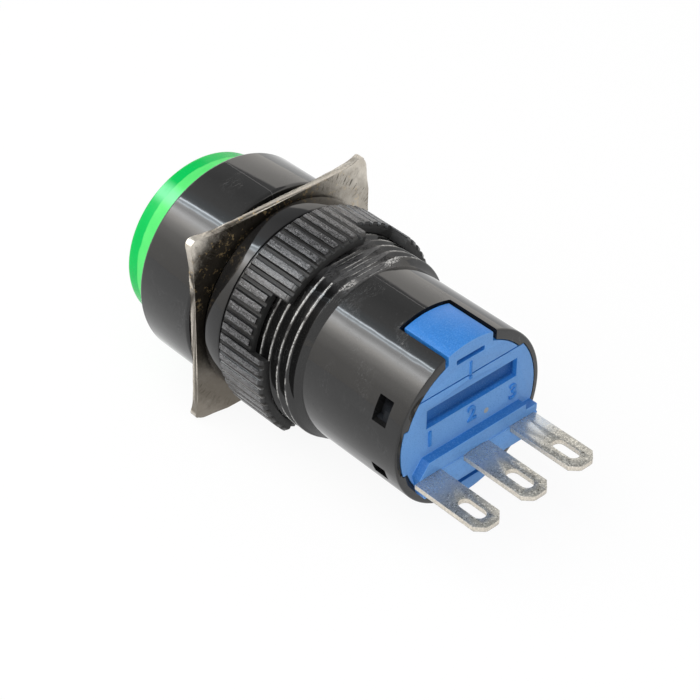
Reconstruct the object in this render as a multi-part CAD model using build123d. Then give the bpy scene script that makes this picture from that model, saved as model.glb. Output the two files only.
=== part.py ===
from build123d import *
import os
from math import cos, pi, radians, sin

# Panel pushbutton switch. Y is its axis: the button faces -Y and the terminals +Y. Z is up.
# Stations are places along Y. Station 0 is the bezel's rear face, which seats on the panel.
# The outside sizes follow an 18 mm bezel on a 16 mm threaded barrel, and every radius follows the bezel's.

# Clearances
running_gap = 0.05
slide_gap = 0.1
touch_gap = 0.02
free_gap = 0.15
thread_gap = 0.05

# Bezel and barrel
bezel_radius = 9.0
bezel_length = 6.2
bezel_edge = 0.35
bezel_wall = 1.15
flange_step = 1.0
barrel_length = 11.7
barrel_end_chamfer = 0.5
thread_pitch = 1.0
thread_depth = 0.6
thread_crest_share = 0.3
thread_root_share = 0.24
thread_start = 0.6
barrel_flat_depth = 0.55
barrel_step = 0.6

# Rear shell
shell_end = 22.1
shell_wall = 0.85
shell_edge = 0.15
passage_step = 0.95
wing_wall = 0.45
latch_window_inset = 2.9
latch_window_length = 1.45
latch_window_depth = 1.5
upper_window_height = 1.95
lower_window_height = 1.1

# Button
button_travel = 2.5
lens_proud = 3.5
lens_length = 5.5
lens_front_wall = 1.6
lens_side_wall = 1.2
lens_edge = 0.5
lens_gap = 0.25
diffuser_thickness = 0.75
carrier_step = 0.95
carrier_rear_gap = 0.5
carrier_wall = 0.95
carrier_web = 1.2
neck_length = 3.05
neck_wall = 0.9
key_width = 1.2
key_height = 0.25
plunger_radius = 1.9
plunger_collar_radius = 2.7
plunger_collar_length = 1.0
plunger_tip_radius = 1.5
plunger_tip_length = 0.85
plunger_slit = 0.7
boss_wall = 0.95
boss_length = 3.0

# Web inside the barrel, which the return spring stands on
web_front = 7.0
web_thickness = 1.0
web_hole_gap = 0.2

# Springs: coil radius to the wire's middle, wire radius, turns
wire_flats = 8
return_coil_radius = 4.3
return_wire_radius = 0.3
return_turns = 6
drive_coil_radius = 1.25
drive_wire_radius = 0.11
drive_turns = 2.5
contact_coil_radius = 0.7
contact_wire_radius = 0.1
contact_turns = 4

# Washer
washer_thickness = 0.6
washer_corner = 0.8
washer_bore_gap = 0.2
washer_land = 0.3
washer_bend_radius = 32.0
washer_bend_angle = 10.0
washer_tilt = 2.0
washer_station = 0.7

# Lock ring
ring_front = 1.5
ring_length = 7.2
ring_wall = 1.0
ring_ridge_height = 0.4
ring_collar_length = 1.8
ring_collar_chamfer = 0.4
ring_groove_width = 0.3
ring_groove_depth = 0.2
ring_ridges = 60
ring_crest_share = 0.52
ring_foot_share = 0.78
ring_end_chamfer = 0.3
ring_notches = 4
ring_notch_width = 4.9
ring_notch_depth = 1.7
ring_notch_angle = 61.0

# Contact block
block_length = 9.1
block_gap = 0.07
wing_gap = 0.08
wing_low = -2.0
wing_setback = 1.4
cover_height = 2.43
split_gap = 0.1
keyway_low = 2.2
plate_thickness = 0.9
chamber_side_wall = 1.08
chamber_rear_wall = 1.7
chamber_low = -2.85
chamber_high = 2.3
tab_half_width = 2.25
tab_length = 4.7
tab_recess = 0.15
tab_slot_inset = 0.78
tab_slot_height = 0.4
tab_slot_half_width = 1.4
tab_slot_depth = 3.9
tab_window_side_gap = 0.35
tab_window_front_gap = 0.2
pocket_left_margin = 2.13
pocket_right_margin = 1.53
pocket_top_margin = 1.0
pocket_height = 1.75
pocket_depth = 0.65
ridge_height = 0.85
ridge_high = -1.15
ridge_step_low = -1.7
ridge_low = -4.3
ridge_left_top = 4.8
ridge_left_waist = 5.75
ridge_right_top = 5.3
ridge_right_waist = 6.5
ridge_foot = 5.3
ledge_height = 0.12
rib_width = 0.25
rib_height = 0.12
rib_below_split = 0.3
rib_above_split = 1.35
latch_bump_length = 0.7
latch_bump_height = 0.8
latch_recess_depth = 2.6

# Terminals and contacts
terminal_inset = 0.5
terminal_height = -2.6
terminal_width = 2.65
terminal_thickness = 0.45
terminal_length = 7.65
terminal_tip_chamfer = 0.7
terminal_tip_round = 0.5
terminal_slot_length = 2.5
terminal_slot_width = 1.1
terminal_slot_inset = 2.15
shank_width = 1.7
shank_inset = 0.95
upstand_top = 1.1
rivet_radius = 0.75
rivet_shank_radius = 0.4
rivet_head = 0.4
contact_inset = 1.2
leaf_thickness = 0.3
leaf_half_height = 1.0
leaf_setback = 3.0
leaf_overhang = 0.75
leaf_swing = 6.0
leaf_knuckle_radius = 0.4
moving_head_front = 0.7
moving_head_rear = 0.55
contact_spring_inset = 2.45
slider_radius = 1.5
slider_flange_radius = 2.0
slider_flange_length = 0.5
slider_spigot_radius = 0.9
slider_spigot_length = 0.3

# Radii, widths and heights that follow
barrel_radius = bezel_radius - flange_step
barrel_flat_height = barrel_radius - barrel_flat_depth
shell_radius = barrel_radius - barrel_step
shell_bore = shell_radius - shell_wall
wing_bore = shell_radius - wing_wall
rear_passage_radius = shell_bore - passage_step
button_bore = bezel_radius - bezel_wall
lens_radius = button_bore - lens_gap
lens_bore = lens_radius - lens_side_wall
carrier_radius = lens_radius - carrier_step
guide_bore = carrier_radius + slide_gap
neck_radius = lens_bore - slide_gap
washer_width = 2 * bezel_radius
washer_bend_start = barrel_radius + washer_land
ring_radius = barrel_radius + ring_wall
ring_root_radius = ring_radius - ring_ridge_height
block_radius = shell_bore - block_gap
wing_radius = wing_bore - wing_gap
split_height = block_radius - cover_height
upper_window_high = split_height - running_gap
upper_window_low = upper_window_high - upper_window_height
lower_window_high = wing_low
lower_window_low = lower_window_high - lower_window_height
chamber_half_width = block_radius - chamber_side_wall
tab_radius = shell_radius - tab_recess
tab_slot_low = block_radius - tab_slot_inset
pocket_left = block_radius - pocket_left_margin
pocket_right = pocket_right_margin - block_radius
pocket_high = split_height - pocket_top_margin
pocket_low = pocket_high - pocket_height
terminal_pitch = chamber_half_width - terminal_inset
terminal_top = terminal_height + terminal_thickness / 2
shank_centre = chamber_half_width - shank_inset
contact_x = contact_inset - chamber_half_width
contact_spring_x = shank_centre - contact_spring_inset

# Stations that follow
bezel_front = -bezel_length
lens_front = bezel_front - lens_proud
lens_end = lens_front + lens_length
button_floor = lens_end + button_travel + 2 * slide_gap
diffuser_front = lens_front + lens_front_wall + running_gap
carrier_front = lens_end
carrier_end = web_front - button_travel - carrier_rear_gap
carrier_web_end = carrier_front + carrier_web
web_end = web_front + web_thickness
collar_front = web_end + free_gap
collar_end = collar_front + plunger_collar_length
plunger_end = collar_end + plunger_tip_length
ring_end = ring_front + ring_length
latch_window_front = shell_end - latch_window_inset
block_front = shell_end - block_length
plate_end = block_front + plate_thickness
wing_front = block_front + wing_setback
tab_front = shell_end - tab_length
chamber_end = shell_end - chamber_rear_wall
ridge_end = shell_end + ridge_height
terminal_tip = shell_end + terminal_length
terminal_slot_station = terminal_tip - terminal_slot_inset
slider_front = plunger_end + running_gap
slider_flange_front = plate_end + slide_gap
slider_flange_end = slider_flange_front + slider_flange_length
leaf_station = chamber_end - leaf_setback
leaf_front = leaf_station - leaf_thickness / 2
leaf_rear = leaf_station + leaf_thickness / 2
closed_face = leaf_front - moving_head_front - touch_gap
closed_plate_end = closed_face - rivet_head
leaf_arm = shank_centre - contact_x
open_face = (
    leaf_station
    + (leaf_arm + rivet_radius) * sin(radians(leaf_swing))
    + (leaf_thickness / 2 + moving_head_rear) * cos(radians(leaf_swing))
    + touch_gap
)
open_plate_front = open_face + rivet_head
common_plate_front = leaf_rear + shank_width / 2 * sin(radians(leaf_swing)) + running_gap
through = 40.0


def rod(radius, front, rear, x=0.0, z=0.0):
    """Round bar along Y between two stations."""
    return Pos(x, (front + rear) / 2, z) * Rot(90, 0, 0) * Cylinder(radius, rear - front)


def slab(left, right, front, rear, low, high):
    """Box between two places on each axis."""
    centre = ((left + right) / 2, (front + rear) / 2, (low + high) / 2)
    return Pos(*centre) * Box(right - left, rear - front, high - low)


def turned(outline):
    """Solid turned about Y from an outline of radius and station."""
    return revolve(make_face(Polyline(*outline, close=True)), Axis.Y)


def coil(radius, wire_radius, turns, front, rear, x=0.0):
    """Helical spring along Y, its ends inside the two stations. The wire has flats to keep its faces few."""
    rise = rear - front - 2 * wire_radius
    path = Helix(rise / turns, rise, radius)
    start = Plane(origin=path @ 0, z_dir=path % 0)
    wire = sweep(start * RegularPolygon(wire_radius, round(wire_flats)), path=path, is_frenet=True)
    return Pos(x, rear - wire_radius, 0) * Rot(90, 0, 0) * wire


def both_sides(solid):
    """A solid with its mirror image across the plane x = 0."""
    return solid + mirror(solid, Plane.YZ)


def latch_windows(inner, outer, front, length):
    """Blocks that fill the four latch windows between two distances from the plane x = 0."""
    upper = slab(inner, outer, front, front + length, upper_window_low, upper_window_high)
    lower = slab(inner, outer, front, front + length, lower_window_low, lower_window_high)
    return both_sides(upper + lower)


def keyway(front, rear, low):
    """Space on the +X side where the shell's wall stays thick beside the base."""
    return slab(0, through, front, rear, low, through)


def wings(radius, front, rear, low, high):
    """Cylinder between two heights: the block's side wings, or their room in the shell."""
    return rod(radius, front, rear) & slab(-through, through, front, rear, low, high)


def tab_window(side):
    """Opening in the shell for one latch tab, above (side 1) or below (side -1) the axis."""
    half = tab_half_width + tab_window_side_gap
    front = tab_front - tab_window_front_gap
    edges = sorted((0, side * through))
    return slab(-half, half, front, through, *edges)


def thread_grooves():
    """Outline of the barrel's thread as plain grooves, from the bezel to the barrel's end."""
    flank = (1 - thread_crest_share - thread_root_share) / 2 * thread_pitch
    root = thread_root_share * thread_pitch
    root_radius = barrel_radius - thread_depth
    points = []
    front = thread_start
    while front + 2 * flank + root < barrel_length - barrel_end_chamfer:
        points += [
            (barrel_radius, front),
            (root_radius, front + flank),
            (root_radius, front + flank + root),
            (barrel_radius, front + 2 * flank + root),
        ]
        front += thread_pitch
    return points


def housing():
    """Bezel, threaded barrel and rear shell in one moulding."""
    taper = barrel_radius - shell_radius
    body = turned([
        (0, bezel_front),
        (bezel_radius, bezel_front),
        (bezel_radius, 0),
        (barrel_radius, 0),
        *thread_grooves(),
        (barrel_radius, barrel_length - barrel_end_chamfer),
        (barrel_radius - taper, barrel_length),
        (shell_radius, shell_end),
        (0, shell_end),
    ])
    body = fillet(body.edges().filter_by(GeomType.CIRCLE).group_by(SortBy.RADIUS)[-1], bezel_edge)
    rim = body.edges().filter_by(GeomType.CIRCLE).sort_by(Axis.Y)[-1]
    body = fillet(rim, shell_edge)
    body -= slab(-through, through, 0, barrel_length, barrel_flat_height, through)
    body -= rod(button_bore, bezel_front, button_floor)
    body -= rod(guide_bore, button_floor, web_front)
    body -= rod(plunger_radius + web_hole_gap, web_front, web_end)
    body -= rod(rear_passage_radius, web_end, block_front)
    body -= rod(shell_bore, block_front, shell_end)
    body -= guide_key(guide_bore + key_height, key_width + 2 * slide_gap, button_floor, web_front)
    gap = wing_bore - wing_radius
    room = wings(wing_bore, wing_front - gap, shell_end, wing_low - gap, split_height + gap)
    body -= room - keyway(wing_front - gap, shell_end, keyway_low)
    body -= tab_window(1)
    body -= tab_window(-1)
    inner = shell_bore - latch_window_depth
    return body - latch_windows(inner, through, latch_window_front, latch_window_length)


def guide_key(radius, width, front, rear):
    """Key under the button carrier that stops it turning, or its groove."""
    return rod(radius, front, rear) & slab(-width / 2, width / 2, front, rear, -through, 0)


def lens():
    """Green push cap, closed in front."""
    cap = rod(lens_radius, lens_front, lens_end)
    cap = fillet(cap.edges().sort_by(Axis.Y)[0], lens_edge)
    return cap - rod(lens_bore, lens_front + lens_front_wall, lens_end)


def diffuser():
    """Plate between the lens and the carrier."""
    return rod(neck_radius, diffuser_front, diffuser_front + diffuser_thickness)


def button_carrier():
    """Guided cup with a neck for the lens and a boss for the plunger."""
    neck_front = carrier_front - neck_length
    body = rod(carrier_radius, carrier_front, carrier_end)
    body += rod(neck_radius, neck_front, carrier_front)
    body -= rod(neck_radius - neck_wall, neck_front, carrier_front)
    body -= rod(carrier_radius - carrier_wall, carrier_web_end, carrier_end)
    body += rod(plunger_radius + boss_wall, carrier_web_end, carrier_web_end + boss_length)
    body -= rod(plunger_radius + touch_gap, carrier_web_end, carrier_web_end + boss_length)
    key = guide_key(carrier_radius + key_height, key_width, carrier_front, carrier_end)
    return body + (key - rod(carrier_radius - carrier_wall, carrier_front, carrier_end))


def plunger():
    """Push rod with a slit end and a snap collar that stops behind the web."""
    bevel = plunger_collar_radius - plunger_tip_radius
    body = turned([
        (0, carrier_web_end),
        (plunger_radius, carrier_web_end),
        (plunger_radius, collar_front),
        (plunger_collar_radius, collar_front),
        (plunger_collar_radius, collar_end - bevel / 2),
        (plunger_tip_radius, collar_end),
        (plunger_tip_radius, plunger_end),
        (0, plunger_end),
    ])
    half = plunger_slit / 2
    slit_front = web_front - button_travel
    return body - slab(-half, half, slit_front, plunger_end, -through, through)


def return_spring():
    """Coil between the carrier's web and the barrel's web."""
    front = carrier_web_end + touch_gap
    return coil(return_coil_radius, return_wire_radius, return_turns, front, web_front - touch_gap)


def panel_washer():
    """Square sheet washer, its corners bent forward, lying a little askew on the barrel."""
    half = washer_thickness / 2
    turn = radians(washer_bend_angle)
    reach = through / 2

    def on_bend(offset, angle):
        """Point of the bend on the face that lies offset from the sheet's middle."""
        radius = washer_bend_radius + offset
        return (washer_bend_start + radius * sin(angle), radius * cos(angle) - washer_bend_radius)

    rear = ThreePointArc(on_bend(half, 0), on_bend(half, turn / 2), on_bend(half, turn))
    front = ThreePointArc(on_bend(-half, turn), on_bend(-half, turn / 2), on_bend(-half, 0))
    section = [
        Line((0, half), on_bend(half, 0)),
        rear,
        Line(on_bend(half, turn), on_bend(-half, turn)),
        front,
        Line(on_bend(-half, 0), (0, -half)),
        Line((0, -half), (0, half)),
    ]
    sheet = revolve(make_face(section), Axis.Y)
    blank = Plane.XZ * RectangleRounded(washer_width, washer_width, washer_corner)
    sheet &= extrude(blank, reach, both=True)
    hole = rod(barrel_radius + washer_bore_gap, -reach, reach)
    hole &= slab(-reach, reach, -reach, reach, -reach, barrel_flat_height + washer_bore_gap)
    return Pos(0, washer_station, 0) * Rot(-washer_tilt, 0, 0) * (sheet - hole)


def knurl(front, rear):
    """Ring of straight ridges, each a narrow-topped bar, as one prism along Y."""
    pitch = 2 * pi / ring_ridges
    points = []
    for ridge in range(ring_ridges):
        middle = ridge * pitch
        for radius, share in (
            (ring_root_radius, -ring_foot_share),
            (ring_radius, -ring_crest_share),
            (ring_radius, ring_crest_share),
            (ring_root_radius, ring_foot_share),
        ):
            angle = middle + share * pitch / 2
            points.append((radius * cos(angle), radius * sin(angle)))
    outline = Plane.XZ * make_face(Polyline(*points, close=True))
    return Pos(0, rear, 0) * extrude(outline, rear - front)


def lock_ring():
    """Ring nut: smooth collar, knurled skirt with bevelled ridge ends, spanner notches."""
    knurl_front = ring_front + ring_collar_length + ring_groove_width
    bevel = ring_end_chamfer
    envelope = turned([
        (0, knurl_front),
        (ring_radius - bevel, knurl_front),
        (ring_radius, knurl_front + bevel),
        (ring_radius, ring_end - bevel),
        (ring_radius - bevel, ring_end),
        (0, ring_end),
    ])
    body = knurl(knurl_front, ring_end) & envelope
    groove_radius = ring_root_radius - ring_groove_depth
    body += turned([
        (0, ring_front),
        (ring_root_radius - ring_collar_chamfer, ring_front),
        (ring_root_radius, ring_front + ring_collar_chamfer),
        (ring_root_radius, ring_front + ring_collar_length),
        (groove_radius, ring_front + ring_collar_length),
        (groove_radius, knurl_front),
        (0, knurl_front),
    ])
    body -= rod(barrel_radius + thread_gap, ring_front, ring_end)
    half = ring_notch_width / 2
    notch = slab(-half, half, ring_end - ring_notch_depth, ring_end, 0, through)
    for number in range(ring_notches):
        body -= Rot(0, ring_notch_angle + number * 360 / ring_notches, 0) * notch
    return body


def latch_tab(side):
    """Springy latch tab with the slot behind it, above (side 1) or below (side -1)."""
    half = tab_half_width
    edges = sorted((side * split_height, side * through))
    return rod(tab_radius, tab_front, shell_end) & slab(-half, half, tab_front, shell_end, *edges)


def tab_slot(side):
    """Slot that frees the skin of one latch tab."""
    half = tab_slot_half_width
    edges = sorted((side * tab_slot_low, side * (tab_slot_low + tab_slot_height)))
    return slab(-half, half, shell_end - tab_slot_depth, shell_end, *edges)


def contact_base():
    """Blue main moulding: chamber, terminal ridge, marking pocket, wings and lower tab."""
    body = rod(block_radius, plate_end, shell_end)
    side = wings(wing_radius, wing_front, shell_end, wing_low, split_height)
    body += side - keyway(wing_front, shell_end, keyway_low - slide_gap)
    body &= slab(-through, through, plate_end, shell_end, -through, split_height)
    body += terminal_ridge()
    body += latch_tab(-1)
    body -= tab_slot(-1)
    body -= slab(pocket_right, pocket_left, shell_end - pocket_depth, shell_end, pocket_low, pocket_high)
    side = chamber_half_width
    body -= slab(-side, side, plate_end, chamber_end, chamber_low, chamber_high)
    for x in (-shank_centre, 0, shank_centre):
        body -= shank(x, chamber_end, ridge_end, touch_gap)
    body -= latch_recesses()
    return body + latch_bumps() + rear_rib(split_height - rib_below_split, split_height)


def terminal_ridge():
    """Bar across the rear face that the terminals come out of, with a thin ledge below them."""
    ledge_end = ridge_end + ledge_height
    outline = Polyline(
        (ridge_left_top, ridge_high),
        (ridge_left_waist, terminal_top),
        (ridge_foot, ridge_low),
        (-ridge_foot, ridge_low),
        (-ridge_right_waist, terminal_top),
        (-ridge_right_waist, ridge_step_low),
        (-ridge_right_top, ridge_step_low),
        (-ridge_right_top, ridge_high),
        close=True,
    )
    bar = Pos(0, shell_end, 0) * extrude(Plane.XZ * make_face(outline), -(ledge_end - shell_end))
    bar -= slab(-through, through, ridge_end, ledge_end, terminal_top, through)
    half = terminal_width / 2 + touch_gap
    low = terminal_top - terminal_thickness - touch_gap
    for x in (-terminal_pitch, 0, terminal_pitch):
        bar -= slab(x - half, x + half, ridge_end, ledge_end, low, through)
    return bar & rod(wing_radius, shell_end, ledge_end)


def latch_bumps():
    """Small steps on the base that catch in the shell's latch windows."""
    rear = latch_window_front + latch_window_length - slide_gap
    bumps = []
    for low, high in ((upper_window_low, upper_window_high), (lower_window_low, lower_window_high)):
        top = min(low + latch_bump_height, high - slide_gap)
        step = slab(chamber_half_width, through, rear - latch_bump_length, rear, low + slide_gap, top)
        bumps.append(step & rod(wing_bore, rear - latch_bump_length, rear))
    return both_sides(bumps[0] + bumps[1])


def latch_recesses():
    """Hollows in the base above its upper latch steps, open to the shell's windows."""
    front = latch_window_front
    rear = latch_window_front + latch_window_length
    low = upper_window_low + latch_bump_height
    return both_sides(slab(block_radius - latch_recess_depth, through, front, rear, low, split_height))


def contact_cover():
    """Blue upper moulding with the upper latch tab and a fine rib on its rear face."""
    low = split_height + split_gap
    body = rod(block_radius, plate_end, shell_end) + latch_tab(1)
    body &= slab(-through, through, plate_end, shell_end, low, through)
    body -= tab_slot(1)
    return body + rear_rib(low, split_height + rib_above_split)


def rear_rib(low, high):
    """Fine rib on the block's rear face, which crosses from the base to the cover."""
    return slab(-rib_width / 2, rib_width / 2, shell_end, shell_end + rib_height, low, high)


def front_plate():
    """Disc that closes the contact block and guides the slider."""
    return rod(block_radius, block_front, plate_end) - rod(slider_radius + running_gap, block_front, plate_end)


def slider():
    """Contact block's push piece, kept in by its flange."""
    body = rod(slider_radius, slider_front, slider_flange_front)
    body += rod(slider_flange_radius, slider_flange_front, slider_flange_end)
    return body + rod(slider_spigot_radius, slider_flange_end, slider_flange_end + slider_spigot_length)


def drive_spring():
    """Coil between the slider's flange and the leaf."""
    front = slider_flange_end + touch_gap
    return coil(drive_coil_radius, drive_wire_radius, drive_turns, front, leaf_front - touch_gap)


def contact_spring():
    """Coil between the leaf and the back of the chamber."""
    front = leaf_rear + touch_gap
    rear = chamber_end - touch_gap
    return coil(contact_coil_radius, contact_wire_radius, contact_turns, front, rear, contact_spring_x)


def shank(x, front, rear, gap=0.0):
    """Narrow inner part of a terminal, or with a gap its slot in the base."""
    half = shank_width / 2 + gap
    thick = terminal_thickness / 2 + gap
    return slab(x - half, x + half, front, rear, terminal_height - thick, terminal_height + thick)


def blade(x):
    """Outer part of a terminal: flat blade with a bevelled tip and a wiring slot."""
    length = terminal_tip - ridge_end
    outline = Pos(x, ridge_end + length / 2) * Rectangle(terminal_width, length)
    tip = outline.vertices().group_by(Axis.Y)[-1]
    outline = chamfer(tip, terminal_tip_chamfer)
    tip = outline.vertices().group_by(Axis.Y)[-1]
    outline = fillet(tip, terminal_tip_round)
    slot = SlotOverall(terminal_slot_length, terminal_slot_width, rotation=90)
    outline -= Pos(x, terminal_slot_station) * slot
    low = terminal_height - terminal_thickness / 2
    return Pos(0, 0, low) * extrude(outline, terminal_thickness)


def upstand(left, right, front, top=upstand_top):
    """Plate that stands up from a terminal's inner end and faces the button."""
    low = terminal_height - terminal_thickness / 2
    return slab(left, right, front, front + terminal_thickness, low, top)


def terminal_closed():
    """Terminal whose contact stands in front of the leaf."""
    front = closed_plate_end - terminal_thickness
    right = -shank_centre - shank_width / 2
    body = blade(-terminal_pitch) + shank(-shank_centre, front, ridge_end)
    body += upstand(right, contact_x + rivet_radius + slide_gap, front)
    return body - rod(rivet_shank_radius + touch_gap, front, closed_plate_end, contact_x)


def terminal_common():
    """Terminal with the cradle that the leaf turns in."""
    half = shank_width / 2
    body = blade(terminal_pitch) + shank(shank_centre, common_plate_front, ridge_end)
    body += upstand(shank_centre - half, shank_centre + half, common_plate_front)
    cradle = Cylinder(leaf_knuckle_radius + running_gap, through)
    return body - Pos(shank_centre, leaf_station, 0) * cradle


def terminal_open():
    """Terminal whose arm reaches behind the leaf's free end."""
    front = open_plate_front
    half = shank_width / 2
    body = blade(0) + shank(0, front, ridge_end) + upstand(-half, half, front)
    left = contact_x - rivet_radius
    rear = front + terminal_thickness
    body += slab(left, half, front, rear, -upstand_top, upstand_top)
    return body - rod(rivet_shank_radius + touch_gap, front, rear, contact_x)


def fixed_contact_closed():
    """Rivet on the terminal that is closed at rest."""
    plate_front = closed_plate_end - terminal_thickness
    head = rod(rivet_radius, closed_plate_end, closed_face, contact_x)
    return head + rod(rivet_shank_radius, plate_front, closed_plate_end, contact_x)


def fixed_contact_open():
    """Rivet on the terminal that is open at rest."""
    plate_rear = open_plate_front + terminal_thickness
    head = rod(rivet_radius, open_face, open_plate_front, contact_x)
    return head + rod(rivet_shank_radius, open_plate_front, plate_rear, contact_x)


def contact_leaf():
    """Moving leaf with a rolled end that turns in the common terminal's cradle."""
    left = contact_x - leaf_overhang
    body = slab(left, shank_centre, leaf_front, leaf_rear, -leaf_half_height, leaf_half_height)
    knuckle = Cylinder(leaf_knuckle_radius, 2 * leaf_half_height)
    body += Pos(shank_centre, leaf_station, 0) * knuckle
    return body - rod(rivet_shank_radius + touch_gap, leaf_front, leaf_rear, contact_x)


def moving_contact():
    """Rivet through the leaf with a contact face on each side."""
    body = rod(rivet_shank_radius, leaf_front, leaf_rear, contact_x)
    body += rod(rivet_radius, leaf_front - moving_head_front, leaf_front, contact_x)
    return body + rod(rivet_radius, leaf_rear, leaf_rear + moving_head_rear, contact_x)


parts = {
    "housing": housing,
    "lens": lens,
    "diffuser": diffuser,
    "button_carrier": button_carrier,
    "plunger": plunger,
    "return_spring": return_spring,
    "panel_washer": panel_washer,
    "lock_ring": lock_ring,
    "contact_base": contact_base,
    "contact_cover": contact_cover,
    "front_plate": front_plate,
    "slider": slider,
    "drive_spring": drive_spring,
    "contact_spring": contact_spring,
    "terminal_closed": terminal_closed,
    "terminal_common": terminal_common,
    "terminal_open": terminal_open,
    "fixed_contact_closed": fixed_contact_closed,
    "fixed_contact_open": fixed_contact_open,
    "contact_leaf": contact_leaf,
    "moving_contact": moving_contact,
}

os.makedirs("parts", exist_ok=True)
for name, build in parts.items():
    export_step(build(), f"parts/{name}.step")
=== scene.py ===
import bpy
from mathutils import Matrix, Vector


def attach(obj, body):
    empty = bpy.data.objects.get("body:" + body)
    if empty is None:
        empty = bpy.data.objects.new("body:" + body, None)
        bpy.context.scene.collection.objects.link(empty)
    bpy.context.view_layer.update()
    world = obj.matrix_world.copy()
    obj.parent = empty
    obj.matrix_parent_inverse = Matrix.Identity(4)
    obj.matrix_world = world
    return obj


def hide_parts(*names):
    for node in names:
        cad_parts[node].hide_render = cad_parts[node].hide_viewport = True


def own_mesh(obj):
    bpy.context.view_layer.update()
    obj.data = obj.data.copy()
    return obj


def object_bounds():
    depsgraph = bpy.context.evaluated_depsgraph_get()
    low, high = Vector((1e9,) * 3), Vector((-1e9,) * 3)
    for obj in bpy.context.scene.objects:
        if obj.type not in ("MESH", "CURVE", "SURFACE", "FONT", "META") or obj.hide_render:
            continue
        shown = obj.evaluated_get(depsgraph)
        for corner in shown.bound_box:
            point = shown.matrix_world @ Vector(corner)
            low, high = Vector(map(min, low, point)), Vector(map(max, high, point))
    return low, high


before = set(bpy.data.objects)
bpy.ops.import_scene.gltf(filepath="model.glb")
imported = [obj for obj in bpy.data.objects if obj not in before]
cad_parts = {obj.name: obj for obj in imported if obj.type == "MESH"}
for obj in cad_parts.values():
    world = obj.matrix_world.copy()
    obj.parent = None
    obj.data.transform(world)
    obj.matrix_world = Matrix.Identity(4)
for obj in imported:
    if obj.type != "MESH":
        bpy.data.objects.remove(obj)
CAD_BOX = [list(corner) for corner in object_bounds()]

import logging
from dataclasses import dataclass
from enum import Enum
from math import cos, degrees, hypot, pi, radians, sin, tan
from typing import Callable, Sequence

import bpy
from mathutils import Matrix, Vector, noise

log = logging.getLogger("pushbutton_switch")

MM = 0.001

# Sides of a turned solid
SIDES = 192

# How far cutters stand out of what they cut, and a distance that is outside the switch, in millimetres
SPARE = 1.0
OUTSIDE = 12.0

Point = tuple[float, float]
Place = tuple[float, float, float]
Colour = tuple[float, float, float]


# Modelling tools. Pieces are modelled in millimetres and turned into metres when they are handed over


class Cut(Enum):
    """How a second solid acts on a first one."""

    REMOVE = "DIFFERENCE"
    KEEP = "INTERSECT"
    ADD = "UNION"


def alone(obj: bpy.types.Object) -> None:
    """Makes one object the only one selected, and active.

    Args:
        obj: The object to work on.
    """
    bpy.ops.object.select_all(action="DESELECT")
    obj.select_set(True)
    bpy.context.view_layer.objects.active = obj


def embed(obj: bpy.types.Object) -> None:
    """Moves an object's place, turn and scale into its mesh."""
    alone(obj)
    bpy.ops.object.transform_apply(location=True, rotation=True, scale=True)


def open_mesh(obj: bpy.types.Object, select: str = "SELECT", kind: str = "VERT") -> None:
    """Enters edit mode on one object.

    Args:
        obj: The object to edit.
        select: SELECT to start with all of it selected, DESELECT with nothing.
        kind: What is selected by clicks: VERT, EDGE or FACE.
    """
    alone(obj)
    bpy.ops.object.mode_set(mode="EDIT")
    bpy.ops.mesh.select_mode(type=kind)
    bpy.ops.mesh.select_all(action=select)


def close_mesh() -> None:
    """Leaves edit mode."""
    bpy.ops.object.mode_set(mode="OBJECT")


def heal(obj: bpy.types.Object, reach: float = 0.0005) -> None:
    """Merges doubled points of a closed mesh and turns its faces outwards.

    Args:
        obj: The object to clean.
        reach: How near two points are to be one, in millimetres.
    """
    open_mesh(obj)
    bpy.ops.mesh.remove_doubles(threshold=reach)
    bpy.ops.mesh.normals_make_consistent(inside=False)
    close_mesh()


def primitive(name: str, add: Callable, **settings: object) -> bpy.types.Object:
    """Adds an object with nothing else selected.

    Args:
        name: The object's name.
        add: The operator that adds it.
        settings: The operator's settings.

    Returns:
        The new object.
    """
    bpy.ops.object.select_all(action="DESELECT")
    add(**settings)
    made = bpy.context.object
    made.name = name
    return made


def drawn(name: str, outline: Sequence[Point]) -> bpy.types.Object:
    """Open line of points in the plane z = 0.

    Args:
        name: The object's name.
        outline: Radius and station of each point, in millimetres.

    Returns:
        The line as a mesh with edges alone.
    """
    line = primitive(name, bpy.ops.mesh.primitive_plane_add, size=1)
    open_mesh(line)
    bpy.ops.mesh.merge(type="CENTER")
    bpy.ops.transform.translate(value=(*outline[0], 0))
    for (radius, station), (next_radius, next_station) in zip(outline, outline[1:]):
        step = (next_radius - radius, next_station - station, 0)
        bpy.ops.mesh.extrude_vertices_move(TRANSFORM_OT_translate={"value": step})
    close_mesh()
    return line


def turned(name: str, outline: Sequence[Point], steps: int = SIDES) -> bpy.types.Object:
    """Solid turned about the switch's axis.

    Args:
        name: The object's name.
        outline: Radius and station of each corner of the section, in millimetres.
        steps: Facets round the axis.

    Returns:
        The closed solid.
    """
    solid = drawn(name, [*outline, outline[0]])
    open_mesh(solid)
    bpy.ops.mesh.spin(steps=steps, angle=2 * pi, center=(0, 0, 0), axis=(0, 1, 0), use_auto_merge=True)
    close_mesh()
    heal(solid)
    return solid


def block(name: str, x: Point, y: Point, z: Point) -> bpy.types.Object:
    """Box between two places on each axis.

    Args:
        name: The object's name.
        x: Its two sides, in millimetres.
        y: Its front and its rear.
        z: Its underside and its top.

    Returns:
        The box.
    """
    box = primitive(name, bpy.ops.mesh.primitive_cube_add, size=1)
    box.location = [(low + high) / 2 for low, high in (x, y, z)]
    box.scale = [high - low for low, high in (x, y, z)]
    embed(box)
    return box


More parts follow.
